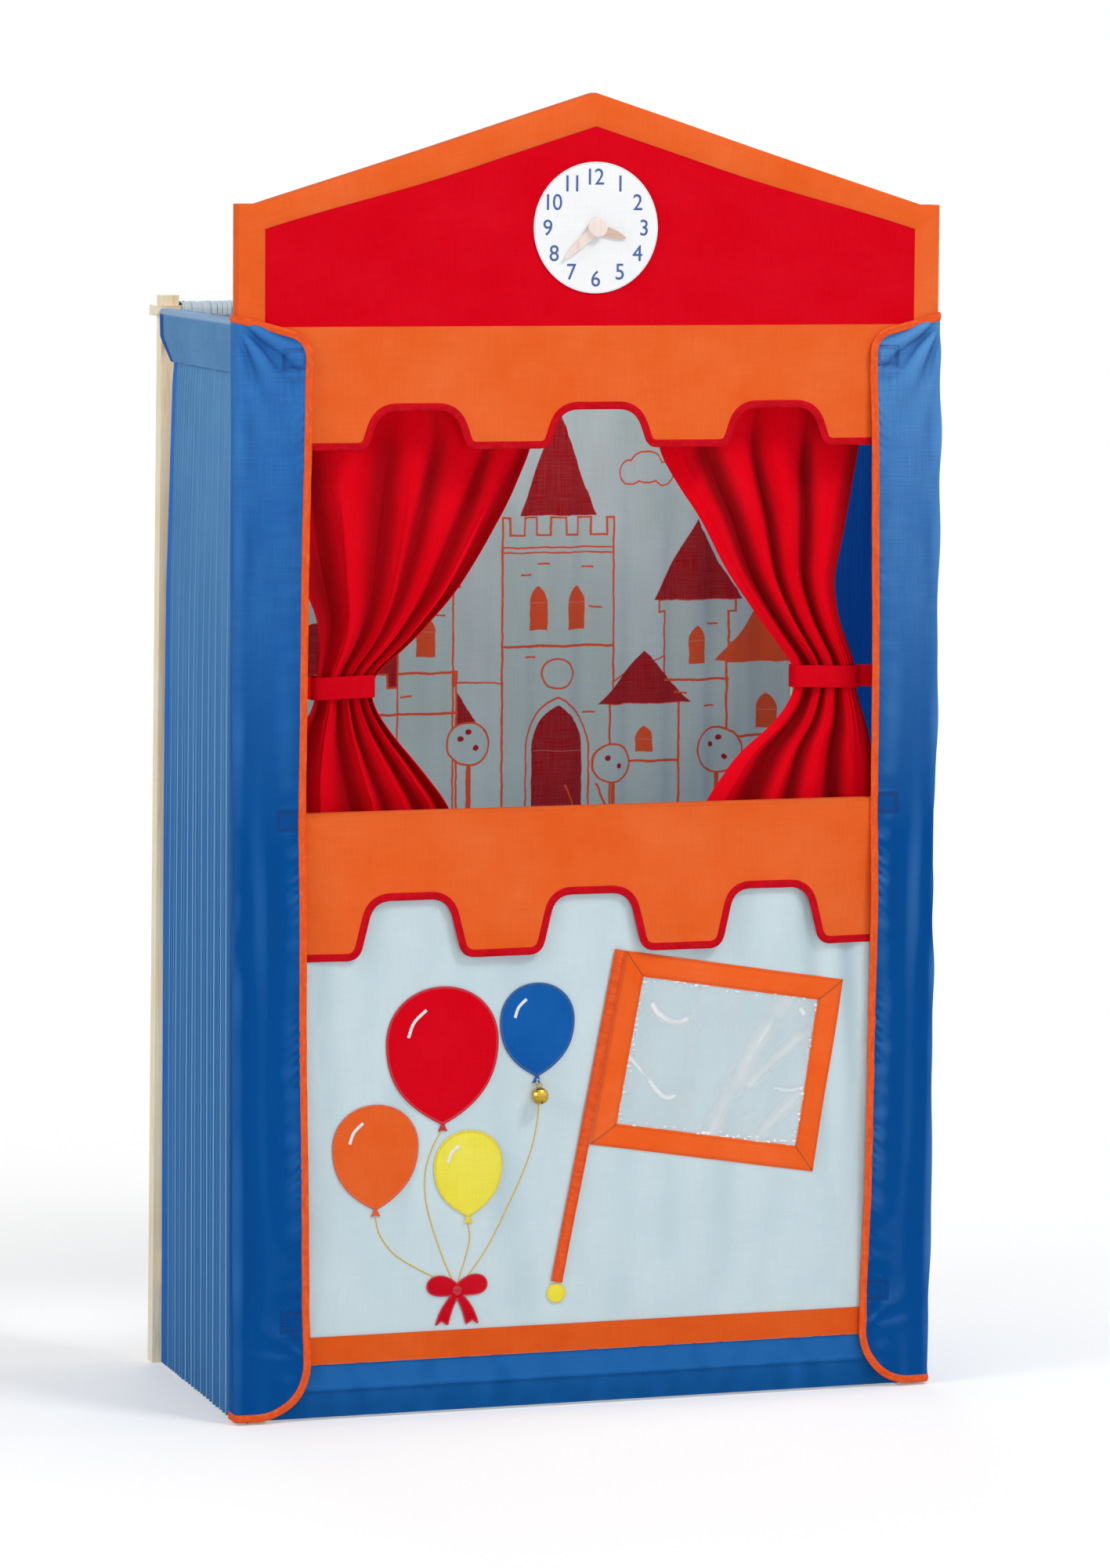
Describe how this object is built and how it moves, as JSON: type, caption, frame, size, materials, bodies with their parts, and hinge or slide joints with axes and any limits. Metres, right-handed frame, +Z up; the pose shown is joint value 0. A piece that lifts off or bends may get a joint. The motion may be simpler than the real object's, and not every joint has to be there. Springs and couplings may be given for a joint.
{
  "type": "puppet theater stand",
  "caption": "Free-standing wooden puppet booth dressed in cloth, with a gabled clock front, tied-back stage curtains, a ledge and a puppeteer's space behind.",
  "frame": {"origin": "on the floor, at the middle of the booth's width and depth", "axes": "+Z up, the audience looks along +Y at the front, +X is to the audience's right"},
  "size_m": [0.8012, 0.4076, 1.426],
  "materials": {
    "pale_wood": "clear satin varnish on pale softwood",
    "hand_wood": "sanded beech",
    "steel": "bright",
    "brass": "polished",
    "red_cloth": "plain cotton weave",
    "orange_cloth": "plain cotton weave",
    "blue_cloth": "plain cotton weave",
    "side_cloth": "plain cotton weave",
    "pale_cloth": "plain cotton weave",
    "back_cloth": "printed plain cotton",
    "white_cloth": "plain cotton weave with stitched figures",
    "yellow_cloth": "plain cotton weave",
    "clear_sheet": "clear soft vinyl",
    "white_thread": "cotton thread"
  },
  "bodies": {
    "booth": {"backdrop": "back_cloth", "balloon_blue": "blue_cloth", "balloon_bow": "red_cloth", "balloon_orange": "orange_cloth", "balloon_red": "red_cloth", "balloon_yellow": "yellow_cloth", "base_band": "blue_cloth", "bell_loop": "white_thread", "clock_dial": "white_cloth", "clock_nut": "steel", "clock_pin": "hand_wood", "curtain_rod": "pale_wood", "flag_pole": "orange_cloth", "front_crossbar_bottom": "pale_wood", "front_crossbar_top": "pale_wood", "front_panel": "pale_cloth", "front_post_left": "pale_wood", "front_post_right": "pale_wood", "front_stripe": "orange_cloth", "gable_border": "orange_cloth", "gable_field": "red_cloth", "gable_king_post": "pale_wood", "gable_rafter_left": "pale_wood", "gable_rafter_right": "pale_wood", "lower_valance": "orange_cloth", "lower_valance_piping": "red_cloth", "pocket_frame": "orange_cloth", "pocket_window": "clear_sheet", "pole_end": "yellow_cloth", "rear_crossbar": "pale_wood", "rear_post_left": "pale_wood", "rear_post_right": "pale_wood", "rod_bracket_left": "pale_wood", "rod_bracket_right": "pale_wood", "side_curtain_left": "side_cloth", "side_curtain_right": "side_cloth", "side_rail_bottom_left": "pale_wood", "side_rail_bottom_right": "pale_wood", "side_rail_top_left": "pale_wood", "side_rail_top_right": "pale_wood", "side_yoke_left": "side_cloth", "side_yoke_right": "side_cloth", "slat_peg_left": "pale_wood", "slat_peg_right": "pale_wood", "stage_rail": "pale_wood", "upper_valance": "orange_cloth", "upper_valance_piping": "red_cloth"},
    "wing_flap_left": {"wing_left": "blue_cloth", "wing_piping_left": "orange_cloth"},
    "wing_flap_right": {"wing_right": "blue_cloth", "wing_piping_right": "orange_cloth"},
    "curtain_left": {"stage_curtain_left": "red_cloth", "tieback_left": "red_cloth"},
    "curtain_right": {"stage_curtain_right": "red_cloth", "tieback_right": "red_cloth"},
    "hour": {"hour_hand": "hand_wood"},
    "minute": {"minute_hand": "hand_wood"},
    "bell": {"bell_shell": "brass", "bell_ball": "steel"}
  },
  "joints": [
    {"name": "wing_left_hinge", "type": "hinge", "parent": "booth", "child": "wing_flap_left", "pos_m": [-0.3994, -0.1604, 0.6], "axis": [0, 0, -1], "range_deg": [0, 90]},
    {"name": "wing_right_hinge", "type": "hinge", "parent": "booth", "child": "wing_flap_right", "pos_m": [0.3994, -0.1604, 0.6], "axis": [0, 0, 1], "range_deg": [0, 90]},
    {"name": "curtain_left_slide", "type": "slide", "parent": "booth", "child": "curtain_left", "axis": [1, 0, 0], "range_m": [0, 0.045]},
    {"name": "curtain_right_slide", "type": "slide", "parent": "booth", "child": "curtain_right", "axis": [-1, 0, 0], "range_m": [0, 0.08]},
    {"name": "hour_hand_turn", "type": "hinge", "parent": "booth", "child": "hour", "pos_m": [0, -0.1849, 1.282], "axis": [0, 1, 0], "continuous": true},
    {"name": "minute_hand_turn", "type": "hinge", "parent": "booth", "child": "minute", "pos_m": [0, -0.1872, 1.282], "axis": [0, 1, 0], "continuous": true},
    {"name": "bell_swing", "type": "hinge", "parent": "booth", "child": "bell", "pos_m": [-0.0605, -0.1945, 0.3577], "axis": [0, 1, 0], "range_deg": [-40, 40]}
  ]
}
